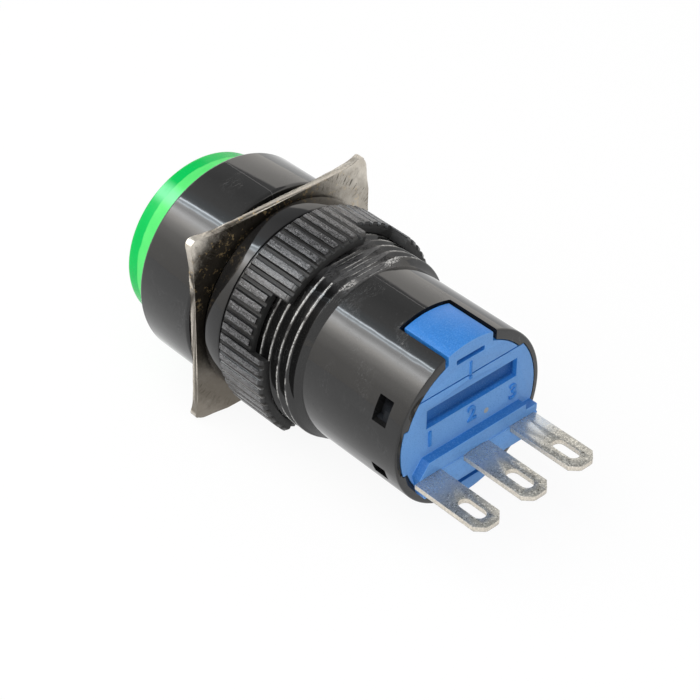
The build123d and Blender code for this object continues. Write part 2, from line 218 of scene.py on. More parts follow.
def shaft(name: str, radius: float, front: float, rear: float) -> bpy.types.Object:
    """Round bar on the switch's axis.

    Args:
        name: The object's name.
        radius: Its radius, in millimetres.
        front: Lowest y.
        rear: Highest y.

    Returns:
        The bar.
    """
    bar = primitive(
        name, bpy.ops.mesh.primitive_cylinder_add, vertices=SIDES, radius=radius, depth=rear - front,
        location=(0, (front + rear) / 2, 0), rotation=(pi / 2, 0, 0),
    )
    embed(bar)
    return bar


def cut(body: bpy.types.Object, how: Cut, *tools: bpy.types.Object) -> None:
    """Cuts or joins solids with others, which are used up.

    Args:
        body: The solid that is changed.
        how: What each tool does to it.
        tools: The solids that act on it.
    """
    for tool in tools:
        alone(body)
        step = body.modifiers.new("cut", "BOOLEAN")
        step.operation = how.value
        step.solver = "EXACT"
        step.object = tool
        bpy.ops.object.modifier_apply(modifier=step.name)
        bpy.data.objects.remove(tool, do_unlink=True)


def soften(body: bpy.types.Object, width: float, angle: float, rings: int = 2) -> None:
    """Rounds every edge that is sharper than an angle.

    Args:
        body: The solid.
        width: Width of the rounding, in millimetres.
        angle: The least turn at an edge that is rounded, in degrees.
        rings: Facets across the rounding.
    """
    alone(body)
    step = body.modifiers.new("soften", "BEVEL")
    step.width = width
    step.segments = rings
    step.limit_method = "ANGLE"
    step.angle_limit = radians(angle)
    step.miter_outer = "MITER_ARC"
    bpy.ops.object.modifier_apply(modifier=step.name)


def shade(body: bpy.types.Object, angle: float = 30.0) -> None:
    """Shades a solid smooth up to an angle between its facets, in degrees."""
    alone(body)
    bpy.ops.object.shade_smooth_by_angle(angle=radians(angle))


def welded_copy(node: str, reach: float = 0.001, flatness: float = 0.6) -> bpy.types.Object:
    """Copy of a CAD node as clean flat faces, in millimetres.

    Args:
        node: The CAD node.
        reach: How near two points are to be one, in millimetres.
        flatness: The largest turn between facets that become one face, in degrees.

    Returns:
        The copy.
    """
    copy = bpy.data.objects.new(f"{node}_copy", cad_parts[node].data.copy())
    bpy.context.scene.collection.objects.link(copy)
    copy.scale = (1 / MM, 1 / MM, 1 / MM)
    embed(copy)
    heal(copy, reach)
    open_mesh(copy)
    bpy.ops.mesh.dissolve_limited(angle_limit=radians(flatness))
    close_mesh()
    return copy


def rounding(centre: Point, radius: float, start: float, stop: float, parts: int) -> list[Point]:
    """Points on an arc of an outline.

    Args:
        centre: Radius and station of the arc's centre.
        radius: The arc's own radius.
        start: Angle of the first point, in degrees from the radius direction.
        stop: Angle of the last point.
        parts: Straight parts that the arc is made of.

    Returns:
        The points, both ends among them.
    """
    points = []
    for part in range(parts + 1):
        angle = radians(start + (stop - start) * part / parts)
        points.append((centre[0] + radius * cos(angle), centre[1] + radius * sin(angle)))
    return points


# Shader arithmetic


def operator(operation: str, reflected: bool = False) -> Callable[["Signal", "Signal | float"], "Signal"]:
    """Makes the method behind one operator on signals.

    Args:
        operation: What its Math node does.
        reflected: True where the signal stands on the operator's right.

    Returns:
        The method.
    """

    def act(self: "Signal", other: "Signal | float") -> "Signal":
        """Adds the Math node."""
        return self.nodes.math(operation, *((other, self) if reflected else (self, other)))

    return act


@dataclass(frozen=True)
class Signal:
    """A value among shader nodes that takes part in arithmetic. Each operator adds a Math node."""

    nodes: "Nodes"
    socket: bpy.types.NodeSocket

    __add__ = operator("ADD")
    __radd__ = operator("ADD", reflected=True)
    __sub__ = operator("SUBTRACT")
    __rsub__ = operator("SUBTRACT", reflected=True)
    __mul__ = operator("MULTIPLY")
    __rmul__ = operator("MULTIPLY", reflected=True)
    __truediv__ = operator("DIVIDE")
    __rtruediv__ = operator("DIVIDE", reflected=True)
    __pow__ = operator("POWER")
    least = operator("MINIMUM")
    most = operator("MAXIMUM")

    def __abs__(self) -> "Signal":
        """Size without its sign."""
        return self.nodes.math("ABSOLUTE", self)

    def rise(self, low: float, high: float) -> "Signal":
        """Smooth mask, whichever of its two ends is the greater.

        Args:
            low: Where the mask is 0.
            high: Where it is 1.

        Returns:
            The mask.
        """
        if low > high:
            return 1 - self.rise(high, low)
        settings = {"interpolation_type": "SMOOTHSTEP", "clamp": True}
        inputs = {"Value": self, "From Min": low, "From Max": high}
        return Signal(self.nodes, self.nodes.node("ShaderNodeMapRange", settings, inputs).outputs["Result"])

    def band(self, middle: float, half: float, edge: float) -> "Signal":
        """Smooth mask of 1 within half of middle, which falls to 0 over edge."""
        return abs(self - middle).rise(half + edge, half)


class Nodes:
    """The shader nodes of a material or a world."""

    def __init__(self, owner: bpy.types.Material | bpy.types.World) -> None:
        """Clears the nodes of the material or world.

        Args:
            owner: The material or world.
        """
        owner.use_nodes = True
        self.tree = owner.node_tree
        self.tree.nodes.clear()

    def node(self, kind: str, settings: dict | None = None, inputs: dict | None = None) -> bpy.types.Node:
        """Adds a node.

        Args:
            kind: The node's type.
            settings: Its settings, a ramp's stops among them, which are set first.
            inputs: Values, signals or sockets for its inputs, by name or number.

        Returns:
            The node.
        """
        node = self.tree.nodes.new(kind)
        for name, value in (settings or {}).items():
            if name == "stops":
                while len(node.color_ramp.elements) < len(value):
                    node.color_ramp.elements.new(1.0)
                for element, (position, colour) in zip(node.color_ramp.elements, value):
                    element.position = position
                    element.color = (*colour, 1)
            else:
                setattr(node, name, value)
        for key, value in (inputs or {}).items():
            self.feed(node.inputs[key], value)
        return node

    def feed(self, socket: bpy.types.NodeSocket, value: object) -> None:
        """Links or sets one input.

        Args:
            socket: The input.
            value: A signal or socket to link, or a number, vector or colour to set.
        """
        if isinstance(value, Signal):
            value = value.socket
        if isinstance(value, bpy.types.NodeSocket):
            self.tree.links.new(value, socket)
        elif socket.type == "RGBA":
            socket.default_value = (*value, 1)
        else:
            socket.default_value = value

    def math(self, operation: str, *operands: Signal | float) -> Signal:
        """Result of one Math node on signals or numbers."""
        node = self.node("ShaderNodeMath", {"operation": operation}, dict(enumerate(operands)))
        return Signal(self, node.outputs[0])

    def rays(self, *kinds: str) -> Signal:
        """Mask of the rays of some kinds.

        Args:
            kinds: The kinds, such as Camera, by their names in Light Path.

        Returns:
            A mask of 1 for those rays.
        """
        outputs = self.node("ShaderNodeLightPath").outputs
        mask, *others = (Signal(self, outputs[f"Is {kind} Ray"]) for kind in kinds)
        for other in others:
            mask = mask.most(other)
        return mask


class Paint(Nodes):
    """The nodes of one material, round one Principled shader, with the place on the piece in millimetres."""

    def __init__(self, material: bpy.types.Material) -> None:
        """Adds the shader, its output and the place on the piece.

        Args:
            material: The material.
        """
        super().__init__(material)
        self.shader = self.node("ShaderNodeBsdfPrincipled")
        self.output = self.node("ShaderNodeOutputMaterial")
        self.show(self.shader.outputs["BSDF"])
        place = self.node("ShaderNodeTexCoord").outputs["Object"]
        scaled = self.node("ShaderNodeVectorMath", {"operation": "SCALE"}, {"Vector": place, "Scale": 1 / MM})
        self.millimetres = scaled.outputs["Vector"]
        parts = self.node("ShaderNodeSeparateXYZ", {}, {"Vector": self.millimetres})
        self.x, self.y, self.z = (Signal(self, parts.outputs[name]) for name in "XYZ")
        self.radius = (self.x * self.x + self.z * self.z) ** 0.5

    def show(self, surface: bpy.types.NodeSocket) -> None:
        """Makes a shader the one that shows."""
        self.feed(self.output.inputs["Surface"], surface)

    def set(self, name: str, value: object) -> None:
        """Sets or links one input of the shader."""
        self.feed(self.shader.inputs[name], value)

    def turn(self) -> Signal:
        """Angle about the switch's axis, from the top towards +X, in radians."""
        return self.math("ARCTAN2", self.x, self.z)

    def moved(self, shift: Place, stretch: Place = (1, 1, 1)) -> bpy.types.NodeSocket:
        """Place on the piece, stretched and shifted for a pattern."""
        inputs = {"Vector": self.millimetres, "Scale": stretch, "Location": shift}
        return self.node("ShaderNodeMapping", {}, inputs).outputs["Vector"]

    def noise(
        self, scale: float, detail: float = 2.0, roughness: float = 0.5,
        stretch: Place = (1, 1, 1), shift: Place = (0, 0, 0),
    ) -> Signal:
        """Cloudy pattern.

        Args:
            scale: Features a millimetre.
            detail: Finer layers on it.
            roughness: Strength of the finer layers.
            stretch: Factor on each axis before the pattern.
            shift: Place in the pattern, so that two of them differ.

        Returns:
            Values round 0.5.
        """
        place = self.moved(shift, stretch)
        inputs = {"Vector": place, "Scale": scale, "Detail": detail, "Roughness": roughness}
        return Signal(self, self.node("ShaderNodeTexNoise", {}, inputs).outputs["Fac"])

    def specks(self, scale: float, size: float, share: float, shift: Place = (0, 0, 0)) -> Signal:
        """Sparse small dots.

        Args:
            scale: Cells a millimetre, each of which may hold a dot.
            size: A dot's size against its cell.
            share: Share of the cells that hold one.
            shift: Place in the pattern.

        Returns:
            A mask of 1 on the dots.
        """
        cells = self.node("ShaderNodeTexVoronoi", {}, {"Vector": self.moved(shift), "Scale": scale})
        near = Signal(self, cells.outputs["Distance"]).rise(size, size * 0.5)
        picks = self.node("ShaderNodeSeparateXYZ", {}, {"Vector": cells.outputs["Color"]})
        return near * Signal(self, picks.outputs["X"]).rise(1 - share, 1 - share * 0.9)

    def layers(self, ground: object, *coats: tuple[Signal | float, object]) -> bpy.types.NodeSocket:
        """Lays colours over each other.

        Args:
            ground: The lowest colour.
            coats: Mask and colour of each coat over it, from the lowest to the highest.

        Returns:
            The colour that shows.
        """
        for mask, colour in coats:
            settings = {"data_type": "RGBA", "clamp_factor": True}
            ground = self.node("ShaderNodeMix", settings, {0: mask, 6: ground, 7: colour}).outputs[2]
        return ground

    def bump(self, height: Signal, depth: float, strength: float) -> None:
        """Adds relief to the shader's normal.

        Args:
            height: Relief from 0 to 1.
            depth: What 1 is, in millimetres.
            strength: How strongly it shows.
        """
        before = self.shader.inputs["Normal"].links
        inputs = {"Height": height, "Distance": depth * MM, "Strength": strength}
        if before:
            inputs["Normal"] = before[0].from_socket
        self.set("Normal", self.node("ShaderNodeBump", {}, inputs).outputs["Normal"])


def times(colour: Colour, factor: float) -> Colour:
    """A colour made darker or lighter."""
    return tuple(factor * part for part in colour)


# Finishes


@dataclass(frozen=True)
class Finish:
    """A surface: its material's name, the record's slot and its plain values."""

    name: str
    slot: str
    colour: Colour
    roughness: float
    metallic: float = 0.0

    def material(self) -> bpy.types.Material:
        """Makes the material, or finds it where it is made already.

        Returns:
            The material.
        """
        made = bpy.data.materials.get(self.name)
        if made:
            return made
        material = bpy.data.materials.new(self.name)
        material.diffuse_color = (*self.colour, 1)
        paint = Paint(material)
        paint.set("Base Color", self.colour)
        paint.set("Roughness", self.roughness)
        paint.set("Metallic", self.metallic)
        self.dress(paint)
        return material

    def dress(self, paint: Paint) -> None:
        """Adds what is special to the surface."""


@dataclass(frozen=True)
class GlossMoulding(Finish):
    """Glossy black plastic with a soft wave in it, dust, fine scratches and worn thread crests."""

    dust: Colour = (0.16, 0.16, 0.165)
    grainy: Colour = (0.022, 0.022, 0.022)
    worn: Colour = (0.5, 0.49, 0.47)
    barrel: Point = (0.0, 11.6)
    barrel_fade: float = 0.1
    crest: float = 8.0
    pitch: float = 1.0
    flat: float = 7.45
    flat_rubbed: Point = (3.6, 2.6)
    corner_across: float = 2.5
    corner_along: float = 11.15
    corner_above: Point = (7.2, 7.35)
    most_rough: float = 0.7

    def on_barrel(self, paint: Paint, end: float) -> Signal:
        """Mask of 1 from the bezel to near a station."""
        front = self.barrel[0]
        return paint.y.rise(front, front + self.barrel_fade) * paint.y.rise(end, end - self.barrel_fade)

    def worn_thread(self, paint: Paint) -> Signal:
        """Thin broken lines along the crests and beside the grooves of the flat.

        Args:
            paint: The material's nodes.

        Returns:
            A mask of 1 where the plastic is rubbed.
        """
        phase = paint.math("FRACT", paint.y / self.pitch - paint.turn() / (2 * pi) + 0.25)
        ragged = paint.noise(2.5, 3.0, 0.6, shift=(2, 6, 1)) - 0.5
        off_crest = abs(phase - 0.5) + 0.1 * ragged
        on_flat = paint.z.rise(self.flat - 0.03, self.flat - 0.005)
        crests = off_crest.rise(0.09, 0.05) * paint.radius.rise(self.crest - 0.12, self.crest - 0.05)
        lines = (1 - on_flat) * crests + on_flat * off_crest.band(0.31, 0.02, 0.03)
        broken = paint.noise(0.7, 2.0, 0.6, shift=(4, 4, 7)).rise(0.36, 0.5)
        grit = paint.noise(8.0, 2.0, 0.6, shift=(5, 1, 2)).rise(0.3, 0.6)
        return self.on_barrel(paint, self.barrel[1]) * lines * broken * grit

    def worn_corners(self, paint: Paint) -> Signal:
        """Streaks on the two rear corners of the flat.

        Args:
            paint: The material's nodes.

        Returns:
            A mask of 1 on the streaks.
        """
        corner = paint.y.band(self.corner_along, 0.3, 0.15) * abs(paint.x).band(self.corner_across, 0.7, 0.5)
        streaks = paint.noise(6.0, 2.0, 0.6, stretch=(1.0, 3.0, 1.0)).rise(0.45, 0.58)
        return corner * paint.z.rise(*self.corner_above) * streaks

    def rubbed_flat(self, paint: Paint) -> Signal:
        """The barrel's flat, rubbed dull along its grooves.

        Args:
            paint: The material's nodes.

        Returns:
            A mask of 1 where it is dullest.
        """
        on_flat = paint.z.rise(self.flat - 0.9, self.flat - 0.3) * abs(paint.x).rise(*self.flat_rubbed)
        patchy = 0.6 + 0.4 * paint.noise(1.5, 3.0, 0.6, stretch=(1.0, 3.0, 1.0)).rise(0.35, 0.6)
        return self.on_barrel(paint, self.barrel[1] + self.barrel_fade) * patchy * on_flat

    def dress(self, paint: Paint) -> None:
        """Adds wear, dust and relief.

        Args:
            paint: The material's nodes.
        """
        wear = self.worn_thread(paint).most(self.worn_corners(paint))
        dull = self.rubbed_flat(paint)
        fine_dust = paint.specks(9.0, 0.24, 0.05)
        dust = (0.7 * fine_dust + paint.specks(2.3, 0.08, 0.08, shift=(3, 7, 1))).least(1.0)
        scratch = paint.noise(0.9, 1.0, 0.4, stretch=(1.0, 14.0, 1.0)).band(0.5, 0.001, 0.004)
        marks = scratch * paint.noise(0.35, 1.0).rise(0.55, 0.66)
        seam = paint.x.band(0.0, 0.015, 0.02) * paint.z.rise(0.0, 0.5)
        grain = paint.noise(11.0, 1.0, 0.5, shift=(1, 8, 5)).rise(0.35, 0.8)
        haze = paint.noise(0.28, 3.0, 0.6, shift=(9, 2, 4)).rise(0.4, 0.75)
        paint.set("Base Color", paint.layers(
            self.colour,
            (0.5 * grain, self.grainy),
            (0.3 * dust, self.dust),
            (0.6 * marks + 0.14 * seam, self.dust),
            (0.25 * dull, self.dust),
            (wear, self.worn),
        ))
        rough = self.roughness + 0.02 * haze + 0.33 * dull + 0.3 * marks + 0.4 * wear + 0.3 * dust
        paint.set("Roughness", rough.least(self.most_rough))
        paint.bump(paint.noise(0.45, 1.0, 0.4, stretch=(1.0, 0.6, 1.0)), 0.03, 0.6)
        paint.bump(paint.noise(1.7, 2.0, 0.5, stretch=(1.0, 0.5, 1.0)), 0.004, 0.6)
        paint.bump(seam - 0.6 * marks, 0.015, 0.5)


@dataclass(frozen=True)
class RingMoulding(Finish):
    """Black plastic, glossy on the collar, with ridge crests scuffed to grey along their length."""

    scuffed: Colour = (0.115, 0.115, 0.12)
    # Painted highlight: light colour of the glints on the crests
    glint: Colour = (0.6, 0.6, 0.61)
    # Painted shade: near-black colour for the ridge valleys, where shade falls
    valley: Colour = (0.003, 0.003, 0.003)
    root: float = 8.6
    crest: float = 9.0
    knurl_front: float = 3.55
    gloss: float = 0.06

    def dress(self, paint: Paint) -> None:
        """Adds scuffs on the crests, painted glints on them, painted shade in the valleys and fine relief.

        Args:
            paint: The material's nodes.
        """
        on_knurl = paint.y.rise(self.knurl_front - 0.1, self.knurl_front)
        at_crest = on_knurl * paint.radius.rise(self.crest - 0.1, self.crest - 0.04)
        streaks = paint.noise(4.0, 4.0, 0.7, stretch=(1.6, 0.35, 1.6))
        grain = paint.noise(9.0, 3.0, 0.7, shift=(3, 1, 8))
        scuff = at_crest * (0.15 + 0.85 * (streaks * 0.5 + grain * 0.5).rise(0.46, 0.56))
        # Painted highlight: light specks on the crests stand in for glints of light
        light = at_crest * paint.specks(9.0, 0.34, 0.15)
        # Painted shade: the valleys are darkened almost to black and made rough, so they mirror nothing
        low = on_knurl * paint.radius.rise(self.root + 0.26, self.root + 0.1)
        coats = ((low, self.valley), (0.8 * scuff, self.scuffed), (0.7 * light, self.glint))
        paint.set("Base Color", paint.layers(self.colour, *coats))
        ridged = on_knurl * (self.roughness - self.gloss + 0.06 * grain)
        paint.set("Roughness", self.gloss + ridged + 0.12 * scuff + 0.4 * low)
        paint.bump((streaks + 0.5 * grain) * at_crest, 0.03, 0.7)
        paint.bump(grain * on_knurl, 0.008, 0.5)
        paint.bump(paint.noise(0.6), 0.03, 0.5)


@dataclass(frozen=True)
class NickelSheet(Finish):
    """Dull nickel plate with a painted dark reflection of the nut round it, rubbed corners and a rough
    sheared edge.
    """

    # Dark colour of real scratches and spots, and of the painted reflection of the nut
    marks_and_reflection: Colour = (0.028, 0.021, 0.013)
    # Painted highlight: colour of the glints in the painted reflection
    gold: Colour = (0.62, 0.46, 0.24)
    bright: Colour = (0.68, 0.64, 0.57)
    shaded: Colour = (0.15, 0.13, 0.105)
    sheared: Colour = (0.6, 0.56, 0.5)
    side: float = 9.0
    nut: float = 9.0
    coarse: float = 10.0
    fine: float = 26.0

    def scratches(self, paint: Paint, fineness: float) -> Signal:
        """Scratches that run away from the axis.

        Args:
            paint: The material's nodes.
            fineness: Scale of the pattern round the axis.

        Returns:
            Values round 0.5, long along the radius.
        """
        inputs = {"X": paint.turn() * fineness, "Y": paint.radius * 0.35}
        line = paint.node("ShaderNodeCombineXYZ", {}, inputs).outputs["Vector"]
        pattern = paint.node("ShaderNodeTexNoise", {}, {"Vector": line, "Scale": 3.2, "Detail": 2.0})
        return Signal(paint, pattern.outputs["Fac"])

    def dress(self, paint: Paint) -> None:
        """Adds the painted dark reflection round the nut, painted gold glints in it, painted shade low on one
        side, rubbed corners, scratches and the sheared edge.

        Args:
            paint: The material's nodes.
        """
        clouds = paint.noise(0.9, 4.0, 0.65, shift=(4, 8, 1))
        fine = paint.noise(6.0, 3.0, 0.7, shift=(1, 2, 9))
        edge = abs(paint.x).most(abs(paint.z)).rise(self.side - 0.07, self.side - 0.03)
        # Painted reflection: the face darkens round the nut, most towards +X, standing in for the dark nut
        # mirrored in the plate
        far = 0.35 + 0.65 * paint.x.rise(-6.5, 1.0)
        reach = paint.radius + 2.6 * (clouds - 0.5) + 1.0 * (fine - 0.5)
        marks_and_reflection = far * reach.rise(self.nut + 2.7, self.nut + 1.3)
        rubbed = paint.noise(0.8, 4.0, 0.7, shift=(7, 3, 3)).rise(0.35, 0.7)
        spots = paint.noise(2.0, 3.0, 0.7, shift=(6, 1, 3)).rise(0.6, 0.72)
        # Painted highlight: gold glints in clumps inside the painted reflection, above the axis
        clumps = paint.noise(1.3, 2.0, 0.6, shift=(2, 9, 2)).rise(0.5, 0.62) * paint.z.rise(1.0, 4.0)
        glints = marks_and_reflection * clumps * paint.noise(4.0, 3.0, 0.7, shift=(8, 8, 2)).rise(0.5, 0.6)
        # Painted shade: the lower part on the +X side is darker, and the painted reflection weaker there
        low = paint.z.rise(-2.0, -5.5) * paint.x.rise(0.0, 3.0)
        scratches = self.scratches(paint, self.coarse)
        beside_nut = (paint.radius + 0.7 * (clouds - 0.5)).band(self.nut + 1.15, 0.3, 0.15)
        strokes = self.scratches(paint, self.fine).rise(0.54, 0.62) * beside_nut
        mottled = paint.layers(times(self.sheared, 0.7), (fine.rise(0.3, 0.7), self.sheared))
        paint.set("Base Color", paint.layers(
            self.colour,
            (0.8 * rubbed, self.bright),
            ((0.4 * scratches.rise(0.6, 0.74) + 0.3 * spots).most(0.8 * strokes), self.marks_and_reflection),
            (0.85 * low, self.shaded),
            (marks_and_reflection * (0.92 - 0.6 * low), self.marks_and_reflection),
            (0.85 * glints, self.gold),
            (edge, mottled),
        ))
        paint.set("Roughness", self.roughness + 0.25 * edge + 0.12 * fine + 0.12 * marks_and_reflection)
        paint.bump(scratches, 0.012, 0.5)
        paint.bump(fine, 0.03, 0.6)
        paint.bump(clouds, 0.12, 0.5)


@dataclass(frozen=True)
class TinnedSheet(Finish):
    """Tin plate: smooth grey faces tinted by a painted blue reflection of the block, flecked where they were
    handled, with pale rough cut sides.
    """

    dull: Colour = (0.06, 0.055, 0.045)
    tip: Colour = (0.27, 0.25, 0.2)
    bright: Colour = (0.74, 0.72, 0.65)
    cut_side: Colour = (0.74, 0.69, 0.61)
    middle: float = -2.6
    thickness: float = 0.45
    handled: Point = (24.2, 26.4)

    def dress(self, paint: Paint) -> None:
        """Adds the flecks, the cut sides and fine ripples.

        Args:
            paint: The material's nodes.
        """
        patches = paint.noise(1.1, 3.0, 0.6)
        fine = paint.noise(7.0, 3.0, 0.75, shift=(2, 5, 8))
        side = abs(paint.z - self.middle).rise(self.thickness / 2 - 0.02, self.thickness / 2 - 0.05)
        worn = 0.25 + 0.75 * (paint.y + 1.6 * (patches - 0.5)).rise(*self.handled)
        flecks = worn * fine.rise(0.54, 0.6)
        pits = worn * paint.noise(6.0, 2.0, 0.7, shift=(9, 4, 1)).rise(0.58, 0.66)
        scratch = paint.noise(1.2, 2.0, 0.5, stretch=(1.0, 9.0, 1.0)).band(0.5, 0.004, 0.008)
        lines = scratch * patches.rise(0.4, 0.55)
        mottled = paint.layers(times(self.cut_side, 0.65), (fine.rise(0.3, 0.7), self.cut_side))
        paint.set("Base Color", paint.layers(
            self.colour,
            (0.8 * worn, self.tip),
            (0.12 * patches.rise(0.4, 0.7) + 0.6 * lines, self.bright),
            (0.9 * pits, self.dull),
            (0.85 * flecks, self.bright),
            (side, mottled),
        ))
        paint.set("Roughness", self.roughness + 0.2 * side + 0.12 * worn * fine)
        paint.bump(fine, 0.012, 0.5)
        paint.bump(patches, 0.02, 0.3)


@dataclass(frozen=True)
class WhiteMoulding(Finish):
    """White plastic with a fine grain, slight clouds of colour and small marks."""

    cloud: Colour = (0.74, 0.74, 0.71)

    def dress(self, paint: Paint) -> None:
        """Adds clouds, grain and small marks.

        Args:
            paint: The material's nodes.
        """
        clouds = paint.noise(0.5, 3.0, 0.6).rise(0.35, 0.7)
        fine = paint.noise(9.0, 2.0, 0.6)
        coats = ((0.5 * clouds, self.cloud), (0.5 * paint.specks(1.6, 0.12, 0.1), times(self.colour, 0.35)))
        paint.set("Base Color", paint.layers(self.colour, *coats))
        paint.set("Roughness", self.roughness + 0.12 * (fine - 0.5) + 0.08 * clouds)
        paint.bump(fine, 0.012, 0.5)
        paint.bump(paint.noise(0.8), 0.03, 0.35)


@dataclass(frozen=True)
class BlockMoulding(Finish):
    """Blue plastic: satin outside, matt on its rear faces with a painted paler sheen, and with painted shade
    in the pocket and on the ridge.
    """

    # Painted light: paler blue for the rear faces, standing in for a pale sheen of light on them
    pale: Colour = (0.15, 0.345, 0.7)
    # Painted shade in the pocket and on the ridge, and also the colour of darker grain specks
    shade_and_grain: Colour = (0.01, 0.1, 0.34)
    speckle: Colour = (0.2, 0.42, 0.72)
    pip: Colour = (0.33, 0.35, 0.36)
    shadow: Colour = (0.001, 0.002, 0.004)
    rear: float = 22.1
    pocket: float = 21.45
    ridge: float = 22.95
    ridge_foot: Point = (-0.5, -0.9)
    pip_place: Point = (-1.85, -0.32)
    pip_radius: float = 0.24
    hidden_middle: float = 18.35
    hidden_half: float = 2.87
    hidden_across: Point = (2.75, 3.0)
    hidden_above: Point = (5.6, 5.3)

    def behind_windows(self, paint: Paint) -> Signal:
        """The block's sides, which lie in the dark behind the shell's latch windows.

        Args:
            paint: The material's nodes.

        Returns:
            A mask of 1 on them.
        """
        along = paint.y.band(self.hidden_middle, self.hidden_half, 0.03)
        return along * abs(paint.x).rise(*self.hidden_across) * abs(paint.z).rise(*self.hidden_above)

    def dress(self, paint: Paint) -> None:
        """Adds the painted paler sheen of the rear faces, painted shade in the pocket and on the ridge, fine
        grain and one grey pip.

        Args:
            paint: The material's nodes.
        """
        grain = paint.noise(9.0, 2.0, 0.7)
        clouds = paint.noise(0.6, 3.0, 0.6, shift=(2, 2, 5))
        back = paint.y.band(self.rear, 0.02, 0.02).most(paint.y.rise(self.ridge - 0.03, self.ridge - 0.01))
        # Painted shade: the pocket floor is darker, most towards -X, and so are the faces beside the ridge
        # below the axis
        floor = paint.y.band(self.pocket, 0.1, 0.25) * paint.z.band(1.0, 2.0, 0.2)
        floor = floor * (0.35 + 0.65 * paint.x.rise(5.0, 1.0))
        flank_shade = paint.y.band((self.rear + self.ridge) / 2, 0.36, 0.03) * paint.z.rise(*self.ridge_foot)
        away = ((paint.x - self.pip_place[0]) ** 2 + (paint.z - self.pip_place[1]) ** 2) ** 0.5
        pip = back * away.rise(self.pip_radius + 0.03, self.pip_radius - 0.03)
        behind = self.behind_windows(paint)
        paint.set("Base Color", paint.layers(
            self.colour,
            (0.3 * clouds.rise(0.35, 0.7), times(self.colour, 1.25)),
            (floor + 0.55 * flank_shade, self.shade_and_grain),
            # Painted light: the rear faces are paler, a painted sheen
            (back * (0.85 + 0.3 * (clouds - 0.5)), self.pale),
            (0.3 * grain.rise(0.5, 0.75), self.speckle),
            (0.35 * grain.rise(0.48, 0.3), self.shade_and_grain),
            (behind, self.shadow),
            (pip, self.pip),
        ))
        paint.set("Specular IOR Level", 0.3)
        paint.set("Roughness", self.roughness + 0.15 * back + 0.5 * behind + 0.12 * (grain - 0.5))
        paint.bump(grain, 0.02, 0.7)
        paint.bump(clouds, 0.04, 0.4)


@dataclass(frozen=True)
class GreenCap(Finish):
    """Clear green plastic, paler where white plastic lies close under it."""

    pale: Colour = (0.13, 0.82, 0.2)
    # Painted highlight: colour of a bright patch that stands in for a reflection
    glow: Colour = (0.3, 0.95, 0.5)
    border: float = -8.3
    highlight_angle: float = 31.0
    highlight_rim: Point = (7.1, 7.5)
    side: Point = (6.5, 7.0)
    front: Point = (-9.5, -9.6)
    shaded_wall: float = 6.75
    middle: Point = (6.3, 1.0)
    scatter: Place = (0.3, 1.0, 0.4)
    scatter_depth: float = 0.4

    def dress(self, paint: Paint) -> None:
        """Adds the two bands, a painted highlight, painted shade over the cap's side and small scratches.

        Args:
            paint: The material's nodes.
        """
        clouds = paint.noise(0.6, 3.0, 0.6)
        wavy = paint.y + 0.3 * (paint.noise(0.9) - 0.5)
        inner = wavy.rise(self.border - 0.06, self.border + 0.06) * paint.radius.rise(*self.side)
        angle = paint.turn() * (180 / pi)
        uneven = 0.6 + 0.4 * paint.noise(1.3, 2.0, 0.6, shift=(5, 1, 1))
        # Painted highlight: a brighter patch at one angle round the rim, standing in for the reflection of
        # the light
        highlight_patch = uneven * angle.band(self.highlight_angle, 1.5, 8.0) * paint.radius.rise(*self.highlight_rim)
        # Painted shade: a darker ring on the front face over the cap's side
        shaded_wall = paint.radius.band(self.shaded_wall, 0.3, 0.12) * paint.y.rise(*self.front)
        middle = paint.radius.rise(*self.middle) * paint.y.rise(*self.front)
        paint.set("Base Color", paint.layers(
            self.colour,
            (0.3 * clouds.rise(0.4, 0.7), times(self.colour, 0.85)),
            (0.3 * shaded_wall, times(self.colour, 0.45)),
            (0.35 * middle, self.pale),
            (inner * (0.8 + 0.4 * (clouds - 0.5)), self.pale),
            (0.75 * highlight_patch, self.glow),
        ))
        paint.set("Subsurface Weight", 0.1)
        paint.set("Subsurface Radius", self.scatter)
        paint.set("Subsurface Scale", self.scatter_depth * MM)
        paint.set("Specular IOR Level", 0.08)
        scratch = paint.noise(1.4, 1.0, 0.4, stretch=(8.0, 1.0, 8.0)).band(0.5, 0.003, 0.01)
        paint.set("Roughness", self.roughness + 0.25 * scratch + 0.1 * clouds)
        paint.bump(paint.noise(0.7, 2.0, 0.5, shift=(3, 3, 3)), 0.04, 0.5)


@dataclass(frozen=True)
class DrawnMetal(Finish):
    """Rolled or drawn metal with fine marks along one direction."""

    dull: Colour = (0.4, 0.4, 0.4)
    along: Place = (1.0, 12.0, 12.0)

    def dress(self, paint: Paint) -> None:
        """Adds the marks and a slight change of shade.

        Args:
            paint: The material's nodes.
        """
        lines = paint.noise(1.5, 3.0, 0.6, stretch=self.along)
        paint.set("Base Color", paint.layers(self.colour, (lines.rise(0.35, 0.75), self.dull)))
        paint.set("Roughness", self.roughness + 0.15 * (lines - 0.5))
        paint.bump(lines, 0.01, 0.4)


GLOSS_BLACK = GlossMoulding("gloss_black_housing", "black_plastic", (0.01, 0.01, 0.01), 0.022)
MATT_BLACK = RingMoulding("matt_black_ring", "ring_plastic", (0.009, 0.009, 0.0095), 0.22)
NICKEL = NickelSheet("nickel_painted_reflection", "nickel_sheet", (0.5, 0.46, 0.4), 0.26, 1.0)
